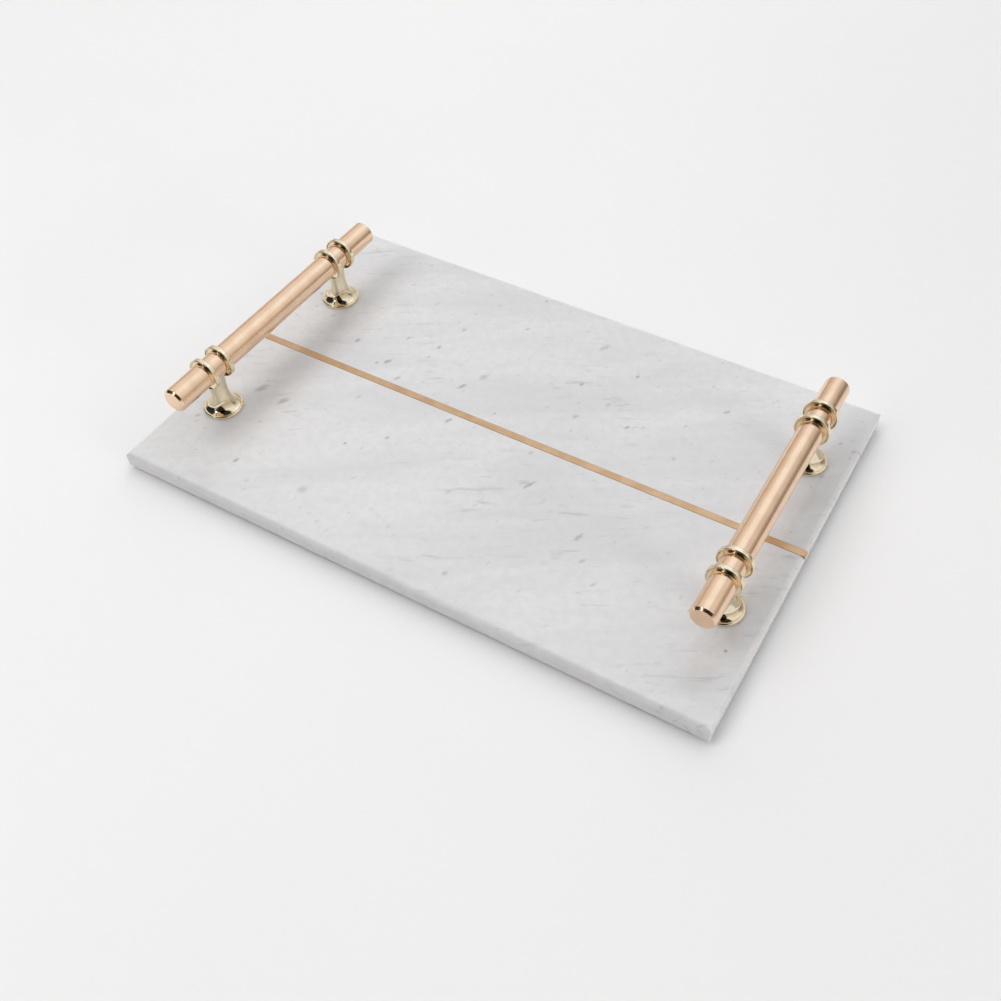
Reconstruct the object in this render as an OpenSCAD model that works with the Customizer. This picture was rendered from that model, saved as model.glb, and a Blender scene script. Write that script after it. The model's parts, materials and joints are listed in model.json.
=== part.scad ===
// Dresser vanity tray: a thin stone slab with a metal strip let into its top and a bar handle at each end.
// Origin: middle of the tray, on the surface it stands on. +X runs along the tray, +Z points up.
// Each handle is a tube with two end plugs, held in the ring eyes of two cast posts.

/* [Slab] */
// Length of the slab, mm
slab_l = 300; // [260:5:400]
// Width of the slab, mm
slab_w = 200; // [190:5:260]
// Thickness of the slab, mm
slab_t = 7.5; // [7:0.5:12]
// Radius of the rounding along the top edges, mm
top_round = 2.5; // [1:0.25:3]
// Size of the small bevel along the bottom edges, mm
bottom_bevel = 0.4; // [0.2:0.1:1]
// Radius of the upright corners of the slab, mm
corner_round = 0.8; // [0.5:0.1:3]

/* [Inlay] */
// Width of the metal strip let into the slab, mm
inlay_w = 3.4; // [2:0.2:8]
// Depth of the metal strip, mm
inlay_t = 2; // [1:0.25:3]
// Radius that the strip's two ends are eased to, mm
inlay_end_round = 0.8; // [0.4:0.1:1]

/* [Handles] */
// Outside diameter of the handle bars, mm
bar_d = 12; // [10:0.5:14]
// Length of each handle bar over its end plugs, mm
bar_l = 150; // [136:2:170]
// Height of the bar's axis above the slab, mm
bar_rise = 25; // [23:0.5:40]
// Distance between the two posts of one handle, mm
post_spacing = 96; // [80:2:110]
// Distance from the slab's end to the handle's axis, mm
handle_inset = 20; // [16:1:40]
// How far the left handle sits forward and the right one back of the middle, mm
handle_stagger = 4; // [0:0.5:8]
// Wall thickness of the bar tube, mm
bar_wall = 1.2; // [0.8:0.1:2]
// Bevel on the bar's end plugs, mm
end_bevel = 1; // [0.5:0.25:1.5]

/* [Posts] */
// Diameter of a post's foot, mm
foot_d = 19.4; // [18:0.5:24]
// Height of the dish inside the foot's rim, mm
foot_step = 1.4; // [1.3:0.1:2]
// Radius of the bead round the foot's rim, mm
bead_r = 0.85; // [0.7:0.05:0.95]
// Half the thickness of the stem across the tray's length, mm
stem_half_x = 3.1; // [3:0.1:4]
// Half the thickness of the stem along the bar, at its narrowest, mm
stem_half_y = 4.5; // [4:0.1:5]
// How far a ring's rim stands above the bar, mm
ring_rise = 2.2; // [1.8:0.1:3]
// Width of a ring's rim, mm
ring_w = 2.4; // [2:0.1:3]
// Distance between the middles of a post's two rings, mm
ring_spacing = 10.6; // [9:0.2:12]

/* [Rubber feet] */
// Diameter of a rubber foot, mm
pad_d = 14; // [10:1:18]
// Height of a rubber foot, mm
pad_h = 2; // [1.5:0.5:5]
// Distance from the slab's edges to a rubber foot's middle, mm
pad_inset = 18; // [14:1:24]

/* [Hidden] */

$fn = 96;
cut = 1;             // how far cutting shapes run past a face
glue_gap = 0.05;     // gap left for glue round the strip
bar_fit = 0.05;      // radial clearance of the bar in its rings
thread_fit = 0.02;   // radial clearance drawn at a thread

// Heights of the slab's two faces
slab_z = pad_h;
top_z = pad_h + slab_t;

// Handle and post places
handle_x = slab_l / 2 - handle_inset;
axis_z = top_z + bar_rise;
bar_r = bar_d / 2;
eye_r = bar_r + bar_fit;
LEFT = -1;
RIGHT = 1;
FRONT = -1;
REAR = 1;

// M4 button head screw, its washer and the recess under the slab
screw_r = 2;
screw_l = 12;
head_r = 3.8;
head_h = 2.2;
screw_socket_w = 2.5;
screw_socket_h = 1.3;
washer_r = 4.5;
washer_hole_r = 2.15;
washer_t = 0.8;
screw_recess_r = 5;
head_cover = 0.2;    // how deep the screw head sits inside the slab
slab_hole_r = 2.3;
recess_h = head_cover + head_h + washer_t;
screw_top = screw_l - (slab_t - recess_h + washer_t);   // above the slab's top face

// M3 grub screw that locks the bar, in the post above the mounting screw
grub_r = 1.5;
grub_socket_w = 1.5;
grub_socket_h = 1.5;
grub_start = screw_top + 1.6;
grub_top = bar_rise - bar_r;

// Gasket under each post
gasket_r = 8;
gasket_t = 0.7;
gasket_hole_r = 2.5;
post_lift = 0.1;     // the foot's rim clears the slab by this much
gasket_recess_r = gasket_r + 0.2;

// Foot: bead at the rim, then a trumpet flare of two tangent arcs that ends inside the stem
foot_r = foot_d / 2;
bead_x = foot_r - bead_r;
bead_z = post_lift + 1;
flare_r1 = 4.5;
flare_r2 = 22;
flare_turn = 62;     // degrees turned by the lower arc
flare_neck_r = stem_half_x - 0.15;
flare2_x = flare_neck_r + flare_r2;
flare1_x = flare2_x - (flare_r2 - flare_r1) * sin(flare_turn);
flare1_z = foot_step + flare_r1;
flare2_z = flare1_z + (flare_r2 - flare_r1) * cos(flare_turn);
join_z = flare1_z - flare_r1 * cos(flare_turn);

// Stem: waisted along the bar, flattened to a lens shape across it
waist_r = 55;
waist_z = 0.28 * bar_rise;
lens_r = 8;
stem_z = foot_step / 2;
saddle_z = bar_rise - bar_r / 2;

// Ring: rounded rim, dished on both sides down to a thin web at the bar
ring_r = bar_r + ring_rise;
ring_in_r = bar_r - 1;   // the bar's bore cuts the ring back from here
ring_corner = 0.5;
web_half = 0.45;
dish_low_r = bar_r + 0.3;
dish_rim_r = ring_r - 0.4;
dish_arc_r = (pow(dish_rim_r - dish_low_r, 2) + pow(ring_w / 2 - web_half, 2)) / (2 * (ring_w / 2 - web_half));

// End plug
spigot_l = 8;
spigot_r = bar_r - bar_wall - 0.02;
spigot_lead = 0.5;

// Rubber foot
pad_r = pad_d / 2;
pad_round = 0.5;
pad_x = slab_l / 2 - pad_inset;
pad_y = slab_w / 2 - pad_inset;

// The y of a handle's middle
function handle_y(side) = side * handle_stagger;
// The y of one post of a handle
function post_y(side, end) = handle_y(side) + end * post_spacing / 2;

// Puts children on the slab's top face at a post
module at_post(side, end) {
    translate([side * handle_x, post_y(side, end), top_z])
        children();
}

// Puts children on the slab's top face at all four posts
module at_posts() {
    for (side = [LEFT, RIGHT])
        for (end = [FRONT, REAR])
            at_post(side, end)
                children();
}

// Upright outline of the slab, seen along an edge: rounded on top, bevelled below
module edge_outline(length) {
    half = length / 2;
    difference() {
        union() {
            translate([-half, 0])
                square([length, slab_t - top_round]);
            translate([-half + top_round, 0])
                square([length - 2 * top_round, slab_t]);
            for (side = [LEFT, RIGHT])
                translate([side * (half - top_round), slab_t - top_round])
                    circle(r = top_round);
        }
        for (side = [LEFT, RIGHT])
            polygon([[side * half, 0], [side * (half - bottom_bevel), 0], [side * half, bottom_bevel]]);
    }
}

// Plan outline of the slab with its small corner rounding
module plan_outline() {
    union() {
        square([slab_l - 2 * corner_round, slab_w], center = true);
        square([slab_l, slab_w - 2 * corner_round], center = true);
        for (sx = [LEFT, RIGHT])
            for (sy = [FRONT, REAR])
                translate([sx * (slab_l / 2 - corner_round), sy * (slab_w / 2 - corner_round)])
                    circle(r = corner_round);
    }
}

module marble_slab() {
    color([0.86, 0.86, 0.85])
    translate([0, 0, slab_z])
    difference() {
        intersection() {
            rotate([90, 0, 0])
                linear_extrude(height = slab_w, center = true)
                    edge_outline(slab_l);
            rotate([90, 0, 90])
                linear_extrude(height = slab_l, center = true)
                    edge_outline(slab_w);
            linear_extrude(height = slab_t)
                plan_outline();
        }
        translate([-slab_l / 2 - cut, -inlay_w / 2 - glue_gap, slab_t - inlay_t - glue_gap])
            cube([slab_l + 2 * cut, inlay_w + 2 * glue_gap, inlay_t + glue_gap + cut]);
        translate([0, 0, -top_z + slab_t])
            at_posts()
                screw_way();
    }
}

// Hole for one mounting screw with the recess for its head, from the slab's top face down
module screw_way() {
    translate([0, 0, -slab_t - cut])
        cylinder(r = slab_hole_r, h = slab_t + 2 * cut);
    translate([0, 0, -slab_t - cut])
        cylinder(r = screw_recess_r, h = recess_h + cut);
}

module brass_inlay_strip() {
    half = slab_l / 2;
    color([0.77, 0.6, 0.45])
    translate([0, 0, top_z - inlay_t])
    rotate([90, 0, 0])
    linear_extrude(height = inlay_w, center = true)
    union() {
        translate([-half, 0])
            square([slab_l, inlay_t - inlay_end_round]);
        translate([-half + inlay_end_round, 0])
            square([slab_l - 2 * inlay_end_round, inlay_t]);
        for (side = [LEFT, RIGHT])
            translate([side * (half - inlay_end_round), inlay_t - inlay_end_round])
                circle(r = inlay_end_round);
    }
}

// A round piece whose axis is a handle bar's axis, middle at the handle's middle
module on_bar_axis(side) {
    translate([side * handle_x, handle_y(side), axis_z])
        rotate([-90, 0, 0])
            children();
}

module handle_bar(side) {
    tube_l = bar_l - 2 * end_bevel;
    color([0.88, 0.75, 0.66])
    on_bar_axis(side)
    difference() {
        cylinder(r = bar_r, h = tube_l, center = true);
        cylinder(r = bar_r - bar_wall, h = tube_l + 2 * cut, center = true);
    }
}

// Plug pressed into one end of a bar: a bevelled head and a spigot with a short lead-in
module bar_plug(side, end) {
    color([0.88, 0.75, 0.66])
    on_bar_axis(side)
    mirror([0, 0, end == FRONT ? 1 : 0])
    translate([0, 0, bar_l / 2 - end_bevel])
    rotate_extrude()
        polygon([[0, -spigot_l], [spigot_r - spigot_lead, -spigot_l], [spigot_r, -spigot_l + spigot_lead],
            [spigot_r, 0], [bar_r, 0], [bar_r - end_bevel, end_bevel], [0, end_bevel]]);
}

// Half section of the foot, bead and trumpet flare
module foot_outline() {
    union() {
        translate([bead_x, post_lift])
            square([bead_r, bead_z - post_lift]);
        translate([bead_x, bead_z])
            circle(r = bead_r);
        difference() {
            translate([0, post_lift])
                square([bead_x, join_z - post_lift]);
            translate([flare1_x, flare1_z])
                circle(r = flare_r1);
        }
        difference() {
            translate([0, join_z])
                square([bead_x, flare2_z - join_z]);
            translate([flare2_x, flare2_z])
                circle(r = flare_r2);
        }
    }
}

// Stem between the foot and the rings
module stem() {
    wide = stem_half_y + waist_r;
    intersection() {
        rotate_extrude()
            difference() {
                translate([0, stem_z])
                    square([wide, saddle_z - stem_z]);
                translate([wide, waist_z])
                    circle(r = waist_r);
            }
        stem_lens();
    }
}

// Upright lens-shaped prism that flattens the stem across the bar
module stem_lens() {
    intersection() {
        translate([lens_r - stem_half_x, 0, 0])
            cylinder(r = lens_r, h = axis_z);
        translate([stem_half_x - lens_r, 0, 0])
            cylinder(r = lens_r, h = axis_z);
    }
}

// Half section of one ring, its axis upright
module ring_outline() {
    half = ring_w / 2;
    difference() {
        union() {
            translate([ring_in_r, -half])
                square([ring_r - ring_corner - ring_in_r, ring_w]);
            translate([ring_in_r, -half + ring_corner])
                square([ring_r - ring_in_r, ring_w - 2 * ring_corner]);
            for (face = [-1, 1])
                translate([ring_r - ring_corner, face * (half - ring_corner)])
                    circle(r = ring_corner);
        }
        for (face = [-1, 1])
            translate([dish_low_r, face * (web_half + dish_arc_r)])
                circle(r = dish_arc_r);
    }
}

// One cast post: foot, stem and two ring eyes, drilled for its screws and bored for the bar
module post(side, end) {
    color([0.85, 0.8, 0.68])
    at_post(side, end)
    difference() {
        union() {
            rotate_extrude()
                foot_outline();
            stem();
            for (face = [-1, 1])
                translate([0, face * ring_spacing / 2, bar_rise])
                    rotate([90, 0, 0])
                        rotate_extrude()
                            ring_outline();
        }
        translate([0, 0, bar_rise])
            rotate([90, 0, 0])
                cylinder(r = eye_r, h = 2 * ring_spacing, center = true);
        translate([0, 0, -cut])
            cylinder(r = screw_r + thread_fit, h = screw_top + 0.6 + cut);
        cylinder(r = grub_r + thread_fit, h = bar_rise);
        cylinder(r = gasket_recess_r, h = gasket_t);
    }
}

module post_gasket(side, end) {
    color([0.93, 0.93, 0.9])
    at_post(side, end)
    difference() {
        cylinder(r = gasket_r, h = gasket_t);
        translate([0, 0, -cut])
            cylinder(r = gasket_hole_r, h = gasket_t + 2 * cut);
    }
}

// Rubber foot: a round pad with its lower edge eased
module rubber_foot(side, end) {
    color([0.72, 0.72, 0.7])
    translate([side * pad_x, end * pad_y, 0])
    rotate_extrude()
    union() {
        square([pad_r - pad_round, pad_h]);
        translate([0, pad_round])
            square([pad_r, pad_h - pad_round]);
        translate([pad_r - pad_round, pad_round])
            circle(r = pad_round);
    }
}

// Button head screw, its head's underside at z = 0 and its thread pointing up
module button_screw() {
    dome_r = (pow(head_r, 2) + pow(head_h, 2)) / (2 * head_h);
    difference() {
        union() {
            intersection() {
                translate([0, 0, dome_r - head_h])
                    sphere(r = dome_r);
                translate([0, 0, -head_h])
                    cylinder(r = head_r, h = head_h);
            }
            translate([0, 0, -head_h / 2])
                cylinder(r = screw_r, h = screw_l + head_h / 2);
        }
        translate([0, 0, -head_h - cut])
            cylinder(d = screw_socket_w / cos(30), h = screw_socket_h + cut, $fn = 6);
    }
}

module mounting_screws() {
    color([0.7, 0.7, 0.72])
    at_posts()
        translate([0, 0, screw_top - screw_l])
            button_screw();
}

module screw_washers() {
    color([0.78, 0.78, 0.8])
    at_posts()
        translate([0, 0, screw_top - screw_l])
            difference() {
                cylinder(r = washer_r, h = washer_t);
                translate([0, 0, -cut])
                    cylinder(r = washer_hole_r, h = washer_t + 2 * cut);
            }
}

// Socket grub screws, each bearing on the underside of a bar
module bar_grub_screws() {
    color([0.35, 0.35, 0.37])
    at_posts()
        translate([0, 0, grub_start])
            difference() {
                cylinder(r = grub_r, h = grub_top - grub_start);
                translate([0, 0, -cut])
                    cylinder(d = grub_socket_w / cos(30), h = grub_socket_h + cut, $fn = 6);
            }
}

marble_slab();
brass_inlay_strip();
handle_bar(LEFT);  // left_handle_bar
handle_bar(RIGHT);  // right_handle_bar
bar_plug(LEFT, FRONT);  // left_front_bar_plug
bar_plug(LEFT, REAR);  // left_rear_bar_plug
bar_plug(RIGHT, FRONT);  // right_front_bar_plug
bar_plug(RIGHT, REAR);  // right_rear_bar_plug
post(LEFT, FRONT);  // left_front_post
post(LEFT, REAR);  // left_rear_post
post(RIGHT, FRONT);  // right_front_post
post(RIGHT, REAR);  // right_rear_post
post_gasket(LEFT, FRONT);  // left_front_post_gasket
post_gasket(LEFT, REAR);  // left_rear_post_gasket
post_gasket(RIGHT, FRONT);  // right_front_post_gasket
post_gasket(RIGHT, REAR);  // right_rear_post_gasket
rubber_foot(LEFT, FRONT);  // front_left_foot
rubber_foot(RIGHT, FRONT);  // front_right_foot
rubber_foot(LEFT, REAR);  // rear_left_foot
rubber_foot(RIGHT, REAR);  // rear_right_foot
mounting_screws();
screw_washers();
bar_grub_screws();
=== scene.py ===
"""Dresser vanity tray: looks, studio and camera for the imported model."""
import json
import math

import bmesh
import bpy
from mathutils import Matrix, Vector

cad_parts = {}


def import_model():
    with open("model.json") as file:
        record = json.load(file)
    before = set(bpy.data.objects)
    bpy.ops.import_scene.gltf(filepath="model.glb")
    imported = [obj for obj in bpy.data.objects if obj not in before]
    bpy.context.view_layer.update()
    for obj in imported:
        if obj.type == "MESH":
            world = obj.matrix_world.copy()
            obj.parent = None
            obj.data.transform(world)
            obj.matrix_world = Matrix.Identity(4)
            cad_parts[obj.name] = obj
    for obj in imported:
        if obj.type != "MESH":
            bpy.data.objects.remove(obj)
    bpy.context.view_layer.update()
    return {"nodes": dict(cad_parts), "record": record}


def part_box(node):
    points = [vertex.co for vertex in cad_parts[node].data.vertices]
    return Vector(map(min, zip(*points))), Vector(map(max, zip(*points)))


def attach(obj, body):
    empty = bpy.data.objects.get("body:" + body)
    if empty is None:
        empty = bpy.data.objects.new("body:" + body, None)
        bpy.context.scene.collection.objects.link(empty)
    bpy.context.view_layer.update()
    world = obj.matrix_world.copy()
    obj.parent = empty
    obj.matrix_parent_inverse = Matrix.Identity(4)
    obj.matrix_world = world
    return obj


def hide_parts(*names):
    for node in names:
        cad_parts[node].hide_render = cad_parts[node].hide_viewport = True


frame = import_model()

MM = 0.001

# ------------------------------------------------------------------ places taken from the frame
slab_low, slab_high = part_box("marble_slab")
strip_low, strip_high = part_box("brass_inlay_strip")
TOP_Z = slab_high[2]
SLAB_MID = Vector(((slab_low[0] + slab_high[0]) / 2, (slab_low[1] + slab_high[1]) / 2, TOP_Z))


# ------------------------------------------------------------------ node helpers
class Nodes:
    """Builds one node material: small calls that return output sockets."""

    def __init__(self, name):
        self.mat = bpy.data.materials.new(name)
        self.mat.use_nodes = True
        self.tree = self.mat.node_tree
        self.tree.nodes.clear()
        self.out = self.tree.nodes.new("ShaderNodeOutputMaterial")
        self.shader = self.tree.nodes.new("ShaderNodeBsdfPrincipled")
        self.tree.links.new(self.shader.outputs["BSDF"], self.out.inputs["Surface"])

    def put(self, socket, value):
        """Links an output socket, or sets a plain value."""
        if isinstance(value, bpy.types.NodeSocket):
            self.tree.links.new(value, socket)
        else:
            socket.default_value = value

    def set(self, **values):
        for key, value in values.items():
            self.put(self.shader.inputs[key.replace("_", " ")], value)

    def coords(self, turn=0.0, scale=(1.0, 1.0, 1.0)):
        """Object coordinates in millimetres, turned about Z, then scaled along each axis."""
        tex = self.tree.nodes.new("ShaderNodeTexCoord")
        spin = self.tree.nodes.new("ShaderNodeMapping")
        spin.vector_type = "TEXTURE"
        spin.inputs["Rotation"].default_value = (0.0, 0.0, turn)
        spin.inputs["Scale"].default_value = (MM, MM, MM)
        self.tree.links.new(tex.outputs["Object"], spin.inputs["Vector"])
        size = self.tree.nodes.new("ShaderNodeMapping")
        size.inputs["Scale"].default_value = scale
        self.tree.links.new(spin.outputs["Vector"], size.inputs["Vector"])
        return size.outputs["Vector"]

    def noise(self, vector, scale, detail=2.0, rough=0.5, distort=0.0):
        node = self.tree.nodes.new("ShaderNodeTexNoise")
        self.tree.links.new(vector, node.inputs["Vector"])
        node.inputs["Scale"].default_value = scale
        node.inputs["Detail"].default_value = detail
        node.inputs["Roughness"].default_value = rough
        node.inputs["Distortion"].default_value = distort
        return node.outputs["Fac"]

    def ramp(self, value, low, high, to_low=0.0, to_high=1.0, smooth=True):
        """Maps low..high to to_low..to_high, held at both ends."""
        node = self.tree.nodes.new("ShaderNodeMapRange")
        node.interpolation_type = "SMOOTHSTEP" if smooth else "LINEAR"
        self.put(node.inputs["Value"], value)
        node.inputs["From Min"].default_value = low
        node.inputs["From Max"].default_value = high
        self.put(node.inputs["To Min"], to_low)
        self.put(node.inputs["To Max"], to_high)
        return node.outputs["Result"]

    def math(self, kind, a, b=0.0):
        node = self.tree.nodes.new("ShaderNodeMath")
        node.operation = kind
        self.put(node.inputs[0], a)
        self.put(node.inputs[1], b)
        return node.outputs[0]

    def mix(self, factor, a, b):
        """Mixes two colours."""
        node = self.tree.nodes.new("ShaderNodeMix")
        node.data_type = "RGBA"
        self.put(node.inputs[0], factor)
        self.put(node.inputs[6], a)
        self.put(node.inputs[7], b)
        return node.outputs[2]

    def split(self, vector):
        node = self.tree.nodes.new("ShaderNodeSeparateXYZ")
        self.tree.links.new(vector, node.inputs[0])
        return node.outputs

    def shifted(self, vector, by, amount):
        """A vector moved by a noise colour, up to about amount each way."""
        wobble = self.tree.nodes.new("ShaderNodeTexNoise")
        self.tree.links.new(vector, wobble.inputs["Vector"])
        wobble.inputs["Scale"].default_value = by
        spread = self.tree.nodes.new("ShaderNodeVectorMath")
        spread.operation = "MULTIPLY_ADD"
        self.tree.links.new(wobble.outputs["Color"], spread.inputs[0])
        spread.inputs[1].default_value = (amount, amount, amount)
        self.tree.links.new(vector, spread.inputs[2])
        return spread.outputs["Vector"]

    def through(self, vector):
        """A vector slanted with depth below the slab's top, so that marks run down through the stone."""
        depth = self.math("SUBTRACT", self.split(self.coords())[2], TOP_Z / MM)
        slant = self.tree.nodes.new("ShaderNodeCombineXYZ")
        for axis, slope in enumerate(MARK_SLANT):
            self.put(slant.inputs[axis], self.math("MULTIPLY", depth, slope))
        moved = self.tree.nodes.new("ShaderNodeVectorMath")
        moved.operation = "ADD"
        self.tree.links.new(vector, moved.inputs[0])
        self.tree.links.new(slant.outputs["Vector"], moved.inputs[1])
        return moved.outputs["Vector"]

    def spots(self, vector, spacing, kept, radius):
        """Soft spots scattered about one to each spacing, of which the part kept is drawn: 0 to 1."""
        node = self.tree.nodes.new("ShaderNodeTexVoronoi")
        node.voronoi_dimensions = "2D"
        self.tree.links.new(vector, node.inputs["Vector"])
        node.inputs["Scale"].default_value = 1.0 / spacing
        chance = self.split(node.outputs["Color"])
        size = self.ramp(chance[1], 0.0, 1.0, SMALLEST_SPOT * radius / spacing, radius / spacing, False)
        inside = self.math("DIVIDE", node.outputs["Distance"], size)
        soft = self.ramp(inside, 0.25, 1.0, 1.0, 0.0)
        shown = self.math("LESS_THAN", chance[0], kept)
        strength = self.ramp(chance[2], 0.0, 1.0, FAINTEST_SPOT, 1.0, False)
        return self.math("MULTIPLY", self.math("MULTIPLY", soft, shown), strength)

    def near(self, vector, x, y, along, across, turn):
        """1 at a place on the slab's top, fading to 0 at the edge of an oval round it."""
        node = self.tree.nodes.new("ShaderNodeMapping")
        node.vector_type = "TEXTURE"
        self.tree.links.new(vector, node.inputs["Vector"])
        node.inputs["Location"].default_value = (x, y, 0.0)
        node.inputs["Rotation"].default_value = (0.0, 0.0, turn)
        node.inputs["Scale"].default_value = (along, across, ANY_DEPTH)
        size = self.tree.nodes.new("ShaderNodeVectorMath")
        size.operation = "LENGTH"
        self.tree.links.new(node.outputs["Vector"], size.inputs[0])
        return self.ramp(size.outputs["Value"], 0.2, 1.0, 1.0, 0.0)

    def bump(self, height, distance, strength=1.0):
        node = self.tree.nodes.new("ShaderNodeBump")
        node.inputs["Strength"].default_value = strength
        node.inputs["Distance"].default_value = distance
        self.tree.links.new(height, node.inputs["Height"])
        self.tree.links.new(node.outputs["Normal"], self.shader.inputs["Normal"])


def rgb(r, g, b):
    """A colour given as it looks on screen, 0 to 255, turned into linear values."""
    def lin(v):
        v = v / 255
        return v / 12.92 if v <= 0.04045 else ((v + 0.055) / 1.055) ** 2.4
    return (lin(r), lin(g), lin(b), 1.0)


# ------------------------------------------------------------------ materials
MID_NOISE = (0.3, 0.7)            # most of a noise's values lie between these
COLOUR_NOISE = (0.35, 0.65)       # a narrower range, which gives clearer patches of colour
VEIN_TURN = math.radians(31)      # the faint streaks run this way across the slab
SPECK_TURN = math.radians(66)     # the small dark specks are drawn out this way
STREAK_STRETCH = (0.2, 1.0, 1.0)  # streaks are five times as long as they are wide
SPECK_STRETCH = (0.55, 1.0, 1.0)
MARK_SLANT = (0.8, -1.1)          # how far marks move along X and Y for each mm of depth
MARK_WOBBLE = 2.4                 # how far noise moves a mark's outline, mm
MARK_DEPTH = 0.75                 # strength of a mark whose own strength is 1
ANY_DEPTH = 1.0e6                 # marks reach right through the slab, mm
SMALLEST_SPOT = 0.45              # the smallest scattered spot, as a part of the largest
FAINTEST_SPOT = 0.35              # and the faintest, as a part of the strongest
GLUE_AND_SHADE_LINE = 0.55                  # width of the darker line along each edge of the strip, mm
GLUE_AND_SHADE_FRONT = 0.9                  # strength of that line on the strip's front side, where painted shade of the gap is added to the glue joint
GLUE_REAR = 0.35                  # and on its rear side
STRIP_HALF = (strip_high[1] - strip_low[1]) / 2 / MM
GROOVE_Z = strip_low[2] / MM      # height of the groove's floor

# Spots scattered over the stone: spacing, part of them kept, radius, strength and colour, lengths in mm
SPOTS = [(13.0, 0.3, 1.5, 0.6, rgb(140, 140, 146)), (7.0, 0.35, 1.1, 0.28, rgb(150, 150, 155))]

# The marks that stand out on this slab: x, y, half length, half width and strength, lengths in mm
MARKS = [(-122, -33, 5.5, 2.6, 0.55), (-107, -35, 5.0, 2.2, 0.6), (26, -24, 4.5, 1.3, 0.7),
         (60, -40, 4.5, 1.4, 0.6), (-79, 14, 3.2, 1.7, 0.8), (-36, 17, 3.8, 1.5, 0.7),
         (-30, 28, 4.5, 1.8, 0.35), (12, 77, 5.0, 1.8, 0.4), (-62, 36, 2.2, 1.5, 0.6),
         (85, 64, 2.6, 1.4, 0.6), (23, 26, 2.6, 1.5, 0.5), (-63, -77, 3.4, 2.6, 0.4)]
VEIN = (7.5, -36.5, 24, 1.6)      # the one longer vein: x, y, half length and half width, mm
VEIN_STRENGTH = 0.28


def plain_stone(n, plain):
    """The stone's own colour: clouds, mottling and patches of faint streaks."""
    streaky = n.coords(VEIN_TURN, STREAK_STRETCH)
    clouds = n.ramp(n.noise(streaky, 0.05, detail=4.0, rough=0.55, distort=0.4), 0.35, 0.68)
    streaks = n.ramp(n.noise(streaky, 0.3, detail=4.0, rough=0.6, distort=0.5), 0.56, 0.74)
    patches = n.ramp(n.noise(plain, 0.02), 0.42, 0.62)
    mottle = n.ramp(n.noise(plain, 0.22, detail=3.0, rough=0.6), 0.35, 0.7)
    base = n.mix(clouds, rgb(226, 226, 227), rgb(217, 217, 219))
    base = n.mix(n.math("MULTIPLY", mottle, 0.3), base, rgb(206, 206, 209))
    shown = n.math("MULTIPLY", streaks, patches)
    return n.mix(n.math("MULTIPLY", shown, 0.5), base, rgb(178, 178, 182))


def with_spots(n, base):
    specky = n.through(n.shifted(n.coords(SPECK_TURN, SPECK_STRETCH), 0.5, 1.2))
    for spacing, kept, radius, strength, colour in SPOTS:
        spots = n.spots(specky, spacing, kept, radius)
        base = n.mix(n.math("MULTIPLY", spots, strength), base, colour)
    return base


def with_marks(n, base, plain):
    ragged = n.through(n.shifted(plain, 0.35, MARK_WOBBLE))
    for x, y, along, across, strength in MARKS:
        # the wobble moves everything by half its size on average, which is put back here
        mark = n.near(ragged, x + MARK_WOBBLE / 2, y + MARK_WOBBLE / 2, along, across, SPECK_TURN)
        base = n.mix(n.math("MULTIPLY", mark, strength * MARK_DEPTH), base, rgb(128, 128, 134))
    vein = n.near(n.through(n.shifted(plain, 0.08, 5.0)), *VEIN, VEIN_TURN)
    return n.mix(n.math("MULTIPLY", vein, VEIN_STRENGTH), base, rgb(160, 160, 165))


def with_glue_line_and_gap_shade(n, base, plain):
    """A darker line along each edge of the strip, down to the groove's floor: a dark glue joint, made
    stronger on the front edge by painted shade of the gap there.
    """
    place = n.split(plain)
    off_strip = n.math("SUBTRACT", place[1], SLAB_MID[1] / MM)
    reach = n.math("ABSOLUTE", off_strip)
    line = n.ramp(reach, STRIP_HALF + 0.1, STRIP_HALF + GLUE_AND_SHADE_LINE, 1.0, 0.0)
    line = n.math("MULTIPLY", line, n.ramp(place[2], GROOVE_Z - 0.2, GROOVE_Z))
    # the front edge is drawn darker than the rear: painted shade in the gap between strip and stone
    strength = n.ramp(off_strip, -0.1, 0.1, GLUE_AND_SHADE_FRONT, GLUE_REAR)
    return n.mix(n.math("MULTIPLY", line, strength), base, rgb(92, 72, 58))


def marble_material():
    n = Nodes("marble")
    plain = n.coords()
    base = with_spots(n, plain_stone(n, plain))
    base = with_marks(n, base, plain)
    base = with_glue_line_and_gap_shade(n, base, plain)
    grain = n.noise(plain, 1.6, detail=3.0, rough=0.6)
    n.set(Base_Color=base, Roughness=n.ramp(grain, *MID_NOISE, 0.05, 0.09))
    n.bump(grain, 0.00001, 0.1)
    return n.mat


def satin_metal(name, colour, dull, rough):
    """Satin plated metal, finely drawn along Y."""
    n = Nodes(name)
    drawn = n.noise(n.coords(scale=(1.0, 0.02, 1.0)), 2.5)
    cloud = n.noise(n.coords(), 0.12)
    n.set(Base_Color=n.mix(n.ramp(cloud, *COLOUR_NOISE), colour, dull),
          Metallic=1.0, Roughness=n.ramp(drawn, *MID_NOISE, rough - 0.015, rough + 0.02))
    n.bump(drawn, 0.0000005, 0.15)
    return n.mat


def polished_metal(name, colour, dull, rough):
    """Bright metal with a faint uneven smear over it."""
    n = Nodes(name)
    smear = n.noise(n.coords(), 0.35, detail=3.0, rough=0.55)
    n.set(Base_Color=n.mix(n.ramp(smear, *COLOUR_NOISE), colour, dull),
          Metallic=1.0, Roughness=n.ramp(smear, *MID_NOISE, rough - 0.02, rough + 0.03))
    n.bump(smear, 0.00001, 0.1)
    return n.mat


def soft_material(name, colour, shade, rough):
    """Rubber or soft plastic with a fine grain."""
    n = Nodes(name)
    grain = n.noise(n.coords(), 2.5, detail=3.0, rough=0.6)
    n.set(Base_Color=n.mix(grain, colour, shade),
          Roughness=n.ramp(grain, *MID_NOISE, rough - 0.06, rough + 0.06))
    n.bump(grain, 0.00003, 0.4)
    return n.mat


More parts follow.
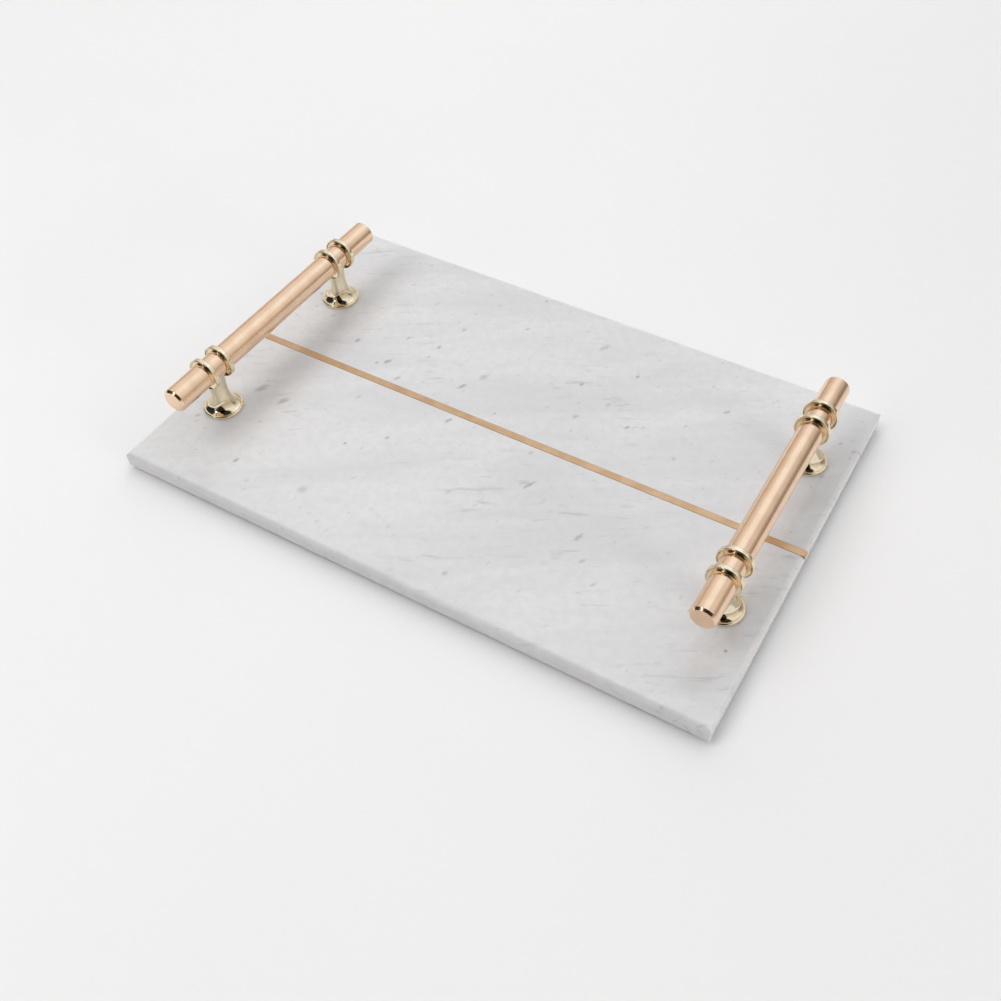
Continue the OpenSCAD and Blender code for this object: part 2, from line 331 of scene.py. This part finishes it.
MATERIALS = {
    "marble": marble_material(),
    "bar_metal": satin_metal("bar_metal", rgb(249, 217, 186), rgb(244, 210, 179), 0.2),
    "inlay_metal": satin_metal("inlay_metal", rgb(228, 191, 150), rgb(218, 179, 137), 0.42),
    "post_metal": polished_metal("post_metal", rgb(245, 233, 205), rgb(239, 225, 194), 0.08),
    "gasket": soft_material("gasket", rgb(232, 232, 228), rgb(222, 222, 218), 0.5),
    "foot_rubber": soft_material("foot_rubber", rgb(205, 205, 202), rgb(190, 190, 187), 0.45),
    "steel_fastener": polished_metal("steel_fastener", rgb(205, 206, 210), rgb(190, 192, 197), 0.22),
    "black_steel": polished_metal("black_steel", rgb(60, 60, 64), rgb(48, 48, 52), 0.35),
}

for part in frame["record"]["subparts"]:
    node = frame["nodes"][part["node"]]
    node.data.materials.clear()
    node.data.materials.append(MATERIALS[part["material_slot"]])

# ------------------------------------------------------------------ posts
# The castings are lofted so that the stem flows out into the foot. Lengths are in millimetres, and a
# post's own origin is on the slab's top face under the bar's axis.
bar_low, bar_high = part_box("left_handle_bar")
post_low, post_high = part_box("left_front_post")
BAR_RISE = ((bar_low[2] + bar_high[2]) / 2 - TOP_Z) / MM
BORE_GAP = 0.05                   # between the bar and the ring eyes round it
BORE_R = (bar_high[0] - bar_low[0]) / 2 / MM + BORE_GAP
FOOT_R = (post_high[0] - post_low[0]) / 2 / MM
RING_R = (post_high[2] - TOP_Z) / MM - BAR_RISE
FOOT_LIFT = (post_low[2] - TOP_Z) / MM
FOOT_EDGE = 0.15                  # bevel along the foot's lower edge
BEAD_R = 0.7
BEAD_Z = FOOT_LIFT + 0.9
BEAD_TURN = math.radians(142)     # how far the bead goes round before the dish begins
DISH_Z = 1.0                      # lowest height that the flare's lower arc would reach
FLARE_R1 = 6.0                    # radius of that arc, in the dish
FLARE_R2 = 22.0                   # radius of the arc above it, up the stem
FLARE_TURN = math.radians(62)     # slope where the two arcs meet
NECK_X = 3.05
NECK_Y = 4.5
WAIST_Z = 7.0                     # where the stem is narrowest along the bar
WAIST_R = 55.0
BLEND_POWER = 5                   # how sharply the round flare passes into the drawn-out stem
SADDLE_GAP = 0.6                  # from the stem's last level ring up to the bar's bore
WELL_R = 8.2                      # hollow under the foot, for the gasket
WELL_TOP = 0.7
SCREW_R = 2.02
SCREW_TOP = 7.5
GRUB_R = 1.52
RING_W = 2.4
RING_CORNER = 0.4
RING_SPACING = 10.6
WEB_HALF = 0.45                   # half the thickness of a ring eye at the bore
WEB_FLAT = 0.25                   # how far the thin part reaches out from the bore
AROUND_POST = 96
AROUND_RING = 144
SHARP_EDGE = math.radians(38)     # edges with a larger angle than this are shaded as creases

POST_TURNS = [2 * math.pi * k / AROUND_POST for k in range(AROUND_POST)]


def steps(start, end, count):
    """Values from start to end in count equal steps, with both ends."""
    return [start + (end - start) * k / count for k in range(count + 1)]


def circle_ring(radius, z):
    """Points round a post's axis."""
    return [(radius * math.cos(t), radius * math.sin(t), z) for t in POST_TURNS]


def stem_ring(radius, z):
    """Points round the flare or stem: round at the foot, drawn out along the bar higher up."""
    waist = NECK_Y + WAIST_R - math.sqrt(WAIST_R ** 2 - (z - WAIST_Z) ** 2)
    half_y = (radius ** BLEND_POWER + waist ** BLEND_POWER) ** (1 / BLEND_POWER)
    return [(radius * math.cos(t), half_y * math.sin(t), z) for t in POST_TURNS]


def on_bore(points):
    """The same points moved up or down on to the bar's bore."""
    return [(x, y, BAR_RISE - math.sqrt(BORE_R ** 2 - x ** 2)) for x, y, _ in points]


def between(ring_a, ring_b, part):
    """A ring part of the way from one to another."""
    return [tuple(a + (b - a) * part for a, b in zip(p, q)) for p, q in zip(ring_a, ring_b)]


def foot_and_stem():
    """All the rings of a casting below the bar, from its screw hole round the outside and back."""
    lower_x = NECK_X + FLARE_R2 - (FLARE_R2 - FLARE_R1) * math.sin(FLARE_TURN)
    lower_z = DISH_Z + FLARE_R1
    upper_x = NECK_X + FLARE_R2
    upper_z = lower_z + (FLARE_R2 - FLARE_R1) * math.cos(FLARE_TURN)
    bead_x = FOOT_R - BEAD_R
    rings = [circle_ring(SCREW_R, SCREW_TOP), circle_ring(SCREW_R, WELL_TOP),
             circle_ring(WELL_R, WELL_TOP), circle_ring(WELL_R, FOOT_LIFT),
             circle_ring(FOOT_R - FOOT_EDGE, FOOT_LIFT), circle_ring(FOOT_R, FOOT_LIFT + FOOT_EDGE)]
    for turn in steps(0, BEAD_TURN, 12):
        rings.append(circle_ring(bead_x + BEAD_R * math.cos(turn), BEAD_Z + BEAD_R * math.sin(turn)))
    dish_edge = bead_x - BEAD_R * 0.85
    dish_start = math.asin((lower_x - dish_edge) / FLARE_R1)
    for turn in steps(dish_start, FLARE_TURN, 14):
        rings.append(stem_ring(lower_x - FLARE_R1 * math.sin(turn), lower_z - FLARE_R1 * math.cos(turn)))
    for turn in steps(FLARE_TURN, math.pi / 2, 14)[1:]:
        rings.append(stem_ring(upper_x - FLARE_R2 * math.sin(turn), upper_z - FLARE_R2 * math.cos(turn)))
    for z in steps(upper_z, BAR_RISE - BORE_R - SADDLE_GAP, 4)[1:]:
        rings.append(stem_ring(NECK_X, z))
    edge = stem_ring(NECK_X, BAR_RISE - BORE_R)
    hole = circle_ring(GRUB_R, 0)
    for part in (0.0, 0.3, 0.65, 1.0):
        rings.append(on_bore(between(edge, hole, part)))
    rings.append(circle_ring(GRUB_R, SCREW_TOP))
    return rings


def eye_outline():
    """Section of one ring eye as (distance from the bar's axis, distance along it), all the way round."""
    dish_low = BORE_R + WEB_FLAT
    dish_high = RING_R - RING_CORNER
    depth = RING_W / 2 - WEB_HALF
    dish_r = ((dish_high - dish_low) ** 2 + depth ** 2) / (2 * depth)
    half = []
    for r in steps(BORE_R, dish_high, 12):
        half.append((r, WEB_HALF + dish_r - math.sqrt(dish_r ** 2 - (r - dish_low) ** 2)))
    for turn in steps(math.pi / 2, 0, 8)[1:]:
        half.append((RING_R - RING_CORNER + RING_CORNER * math.cos(turn),
                     RING_W / 2 - RING_CORNER + RING_CORNER * math.sin(turn)))
    return half + [(r, -along) for r, along in reversed(half)]


def close_loops(mesh, loops):
    """Joins a closed series of closed loops of points into one skin."""
    rows = [[mesh.verts.new(point) for point in loop] for loop in loops]
    for row, following in zip(rows, rows[1:] + rows[:1]):
        for k in range(len(row)):
            j = (k + 1) % len(row)
            mesh.faces.new((row[k], row[j], following[j], following[k]))


def eye_loops(middle_y):
    """The eye's outline repeated round the bar's axis."""
    outline = eye_outline()
    loops = []
    for k in range(AROUND_RING):
        turn = 2 * math.pi * k / AROUND_RING
        loops.append([(r * math.sin(turn), middle_y + along, BAR_RISE + r * math.cos(turn))
                      for r, along in outline])
    return loops


def post_casting(node_name):
    """One post as a foot and stem with two ring eyes, in the place of the node it replaces."""
    low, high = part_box(node_name)
    skin = bmesh.new()
    close_loops(skin, foot_and_stem())
    for end in (-1, 1):
        close_loops(skin, eye_loops(end * RING_SPACING / 2))
    bmesh.ops.scale(skin, vec=(MM, MM, MM), verts=skin.verts)
    place = Vector(((low[0] + high[0]) / 2, (low[1] + high[1]) / 2, TOP_Z))
    bmesh.ops.translate(skin, vec=place, verts=skin.verts)
    bmesh.ops.recalc_face_normals(skin, faces=skin.faces)
    mesh = bpy.data.meshes.new(node_name + "_casting")
    skin.to_mesh(mesh)
    skin.free()
    mesh.shade_smooth()
    mesh.set_sharp_from_angle(angle=SHARP_EDGE)
    mesh.materials.append(MATERIALS["post_metal"])
    piece = bpy.data.objects.new(node_name + "_casting", mesh)
    bpy.context.scene.collection.objects.link(piece)
    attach(piece, "root")
    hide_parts(node_name)


for part in frame["record"]["subparts"]:
    if part["node"].endswith("_post"):
        post_casting(part["node"])

# ------------------------------------------------------------------ studio
FLOOR_HALF = 4.0
WHITE = (1.0, 1.0, 1.0, 1.0)
WARM = (1.0, 0.88, 0.77, 1.0)         # the sky near the horizon
DAYLIGHT = (0.44, 0.74, 1.0, 1.0)     # the window behind the tray
FILL = (1.0, 0.975, 0.93, 1.0)        # the soft lights that even things out

# Parts of the sky made darker: azimuth and elevation, full and outer radius, all in degrees, and level
DARK_PATCHES = [
    (53, 9, 8, 22, 0.48),             # the far corner, low down behind the tray's right end
    (66, 34, 10, 18, 0.80),           # a little less light above it
    (-74, 28, 29, 37, 0.03),          # the camera and whoever holds it, lower half
    (-66, 66, 27, 36, 0.03),          # and upper half
    (-152, 20, 27, 36, 0.04),         # dark furniture at the left
]


def floor():
    """A wide pale floor."""
    n = Nodes("floor")
    speck = n.noise(n.coords(), 0.004, 2.0)
    n.set(Base_Color=n.mix(speck, rgb(246, 246, 247), rgb(242, 242, 244)), Roughness=0.7)
    mesh = bpy.data.meshes.new("floor")
    corners = [(-FLOOR_HALF, -FLOOR_HALF, 0), (FLOOR_HALF, -FLOOR_HALF, 0),
               (FLOOR_HALF, FLOOR_HALF, 0), (-FLOOR_HALF, FLOOR_HALF, 0)]
    mesh.from_pydata(corners, [], [(0, 1, 2, 3)])
    mesh.materials.append(n.mat)
    thing = bpy.data.objects.new("floor", mesh)
    bpy.context.scene.collection.objects.link(thing)


def area_light(name, toward, distance, size, power, colour=WHITE, spread=180, mirrored=True):
    """A square softbox in direction toward from the slab's middle, facing it. Its beam is spread
    degrees wide. Only a mirrored light shows in polished surfaces."""
    light = bpy.data.lights.new(name, "AREA")
    light.shape = "SQUARE"
    light.size = size
    light.energy = power
    light.color = colour[:3]
    light.spread = math.radians(spread)
    thing = bpy.data.objects.new(name, light)
    away = Vector(toward).normalized()
    thing.location = SLAB_MID + away * distance
    thing.rotation_mode = "QUATERNION"
    thing.rotation_quaternion = away.to_track_quat("Z", "Y")
    thing.visible_glossy = mirrored
    bpy.context.scene.collection.objects.link(thing)


def sky_direction(azimuth, elevation):
    """Unit vector for an azimuth from +X towards +Y and a height above the horizon, in degrees."""
    a, e = math.radians(azimuth), math.radians(elevation)
    return (math.cos(a) * math.cos(e), math.sin(a) * math.cos(e), math.sin(e))


class Sky:
    """The studio's surroundings: colour worked out from the direction looked in."""

    def __init__(self):
        self.world = bpy.data.worlds.new("studio")
        bpy.context.scene.world = self.world
        self.world.use_nodes = True
        self.tree = self.world.node_tree
        self.tree.nodes.clear()
        tex = self.tree.nodes.new("ShaderNodeTexCoord")
        self.direction = tex.outputs["Generated"]

    def facing(self, azimuth, elevation):
        """Cosine of the angle between the direction looked in and a given one."""
        node = self.tree.nodes.new("ShaderNodeVectorMath")
        node.operation = "DOT_PRODUCT"
        self.tree.links.new(self.direction, node.inputs[0])
        node.inputs[1].default_value = sky_direction(azimuth, elevation)
        return node.outputs["Value"]

    def ramp(self, value, low, high, to_low, to_high, kind="SMOOTHSTEP"):
        node = self.tree.nodes.new("ShaderNodeMapRange")
        node.interpolation_type = kind
        self.tree.links.new(value, node.inputs["Value"])
        node.inputs["From Min"].default_value = low
        node.inputs["From Max"].default_value = high
        node.inputs["To Min"].default_value = to_low
        node.inputs["To Max"].default_value = to_high
        return node.outputs["Result"]

    def height(self, low, high, to_low, to_high):
        """Goes from one level to another between two elevations, in degrees."""
        return self.ramp(self.facing(0, 90), math.sin(math.radians(low)), math.sin(math.radians(high)),
                         to_low, to_high, "LINEAR")

    def patch(self, azimuth, elevation, inner, outer, level):
        """A factor that is level within inner degrees of a direction and 1 beyond outer degrees."""
        return self.ramp(self.facing(azimuth, elevation),
                         math.cos(math.radians(outer)), math.cos(math.radians(inner)), 1.0, level)

    def times(self, a, b):
        """Two levels multiplied."""
        node = self.tree.nodes.new("ShaderNodeMath")
        node.operation = "MULTIPLY"
        self.tree.links.new(a, node.inputs[0])
        self.tree.links.new(b, node.inputs[1])
        return node.outputs[0]

    def finish(self, strength, whiteness, low_colour, high_colour):
        """Lights the scene with the sky, coloured between two colours by whiteness, 0 to 1."""
        colour = self.tree.nodes.new("ShaderNodeMix")
        colour.data_type = "RGBA"
        self.tree.links.new(whiteness, colour.inputs[0])
        colour.inputs[6].default_value = low_colour
        colour.inputs[7].default_value = high_colour
        back = self.tree.nodes.new("ShaderNodeBackground")
        self.tree.links.new(colour.outputs[2], back.inputs["Color"])
        self.tree.links.new(strength, back.inputs["Strength"])
        out = self.tree.nodes.new("ShaderNodeOutputWorld")
        self.tree.links.new(back.outputs[0], out.inputs["Surface"])


def world():
    """The sky: darker and warmer towards the horizon, with dark patches in it."""
    sky = Sky()
    level = sky.height(-5, 40, 0.42, 0.88)
    for patch in DARK_PATCHES:
        level = sky.times(level, sky.patch(*patch))
    sky.finish(level, sky.height(5, 40, 0.0, 1.0), WARM, WHITE)


floor()
world()
area_light("key", (-0.73, -0.57, 1.30), 1.8, 1.0, 9.0, mirrored=False)
area_light("lamp", (-0.33, -0.77, 0.55), 1.5, 0.2, 0.6)
area_light("back", (0.02, 0.587, 0.809), 1.2, 0.8, 0.55, DAYLIGHT)
area_light("top_fill", (0.1, 0.1, 1.0), 1.5, 1.4, 2.3, FILL, mirrored=False)
area_light("rear_fill", (-0.4, 1.0, 0.8), 1.4, 1.2, 4.4, FILL, mirrored=False)
area_light("right_fill", (1.0, -0.25, 0.2), 1.6, 0.4, 0.73, FILL, spread=60, mirrored=False)
area_light("front_fill", (-0.6, -1.0, 0.8), 1.4, 0.8, 1.6, FILL, mirrored=False)

# ------------------------------------------------------------------ camera
AZIMUTH = math.radians(31.0)          # the camera stands this far round from the front, to the right
ELEVATION = math.radians(50.13)
ROLL = -0.020                         # in radians
DISTANCE = 0.523                      # from the slab's middle, along the direction looked in
SIDEWAYS = 0.00832                    # the camera's own place, off that line
UPWARDS = -0.04707
LENS = 39.56
SENSOR = 36.0
SHIFT = (-0.0262, 0.0310)
CLIP = (0.01, 50)


def camera():
    """The camera at the photograph's viewing angle."""
    back = Vector((math.sin(AZIMUTH) * math.cos(ELEVATION),
                   -math.cos(AZIMUTH) * math.cos(ELEVATION), math.sin(ELEVATION)))
    right = Vector((math.cos(AZIMUTH), math.sin(AZIMUTH), 0))
    up = back.cross(right)
    data = bpy.data.cameras.new("camera")
    data.lens = LENS
    data.sensor_width = SENSOR
    data.shift_x, data.shift_y = SHIFT
    data.clip_start, data.clip_end = CLIP
    thing = bpy.data.objects.new("camera", data)
    x_axis = right * math.cos(ROLL) + up * math.sin(ROLL)
    y_axis = up * math.cos(ROLL) - right * math.sin(ROLL)
    place = SLAB_MID + back * DISTANCE + right * SIDEWAYS + up * UPWARDS
    turn = Matrix((x_axis, y_axis, back)).transposed().to_4x4()
    thing.matrix_world = Matrix.Translation(place) @ turn
    bpy.context.scene.collection.objects.link(thing)
    bpy.context.scene.camera = thing


camera()
bpy.context.scene.view_settings.view_transform = "Standard"
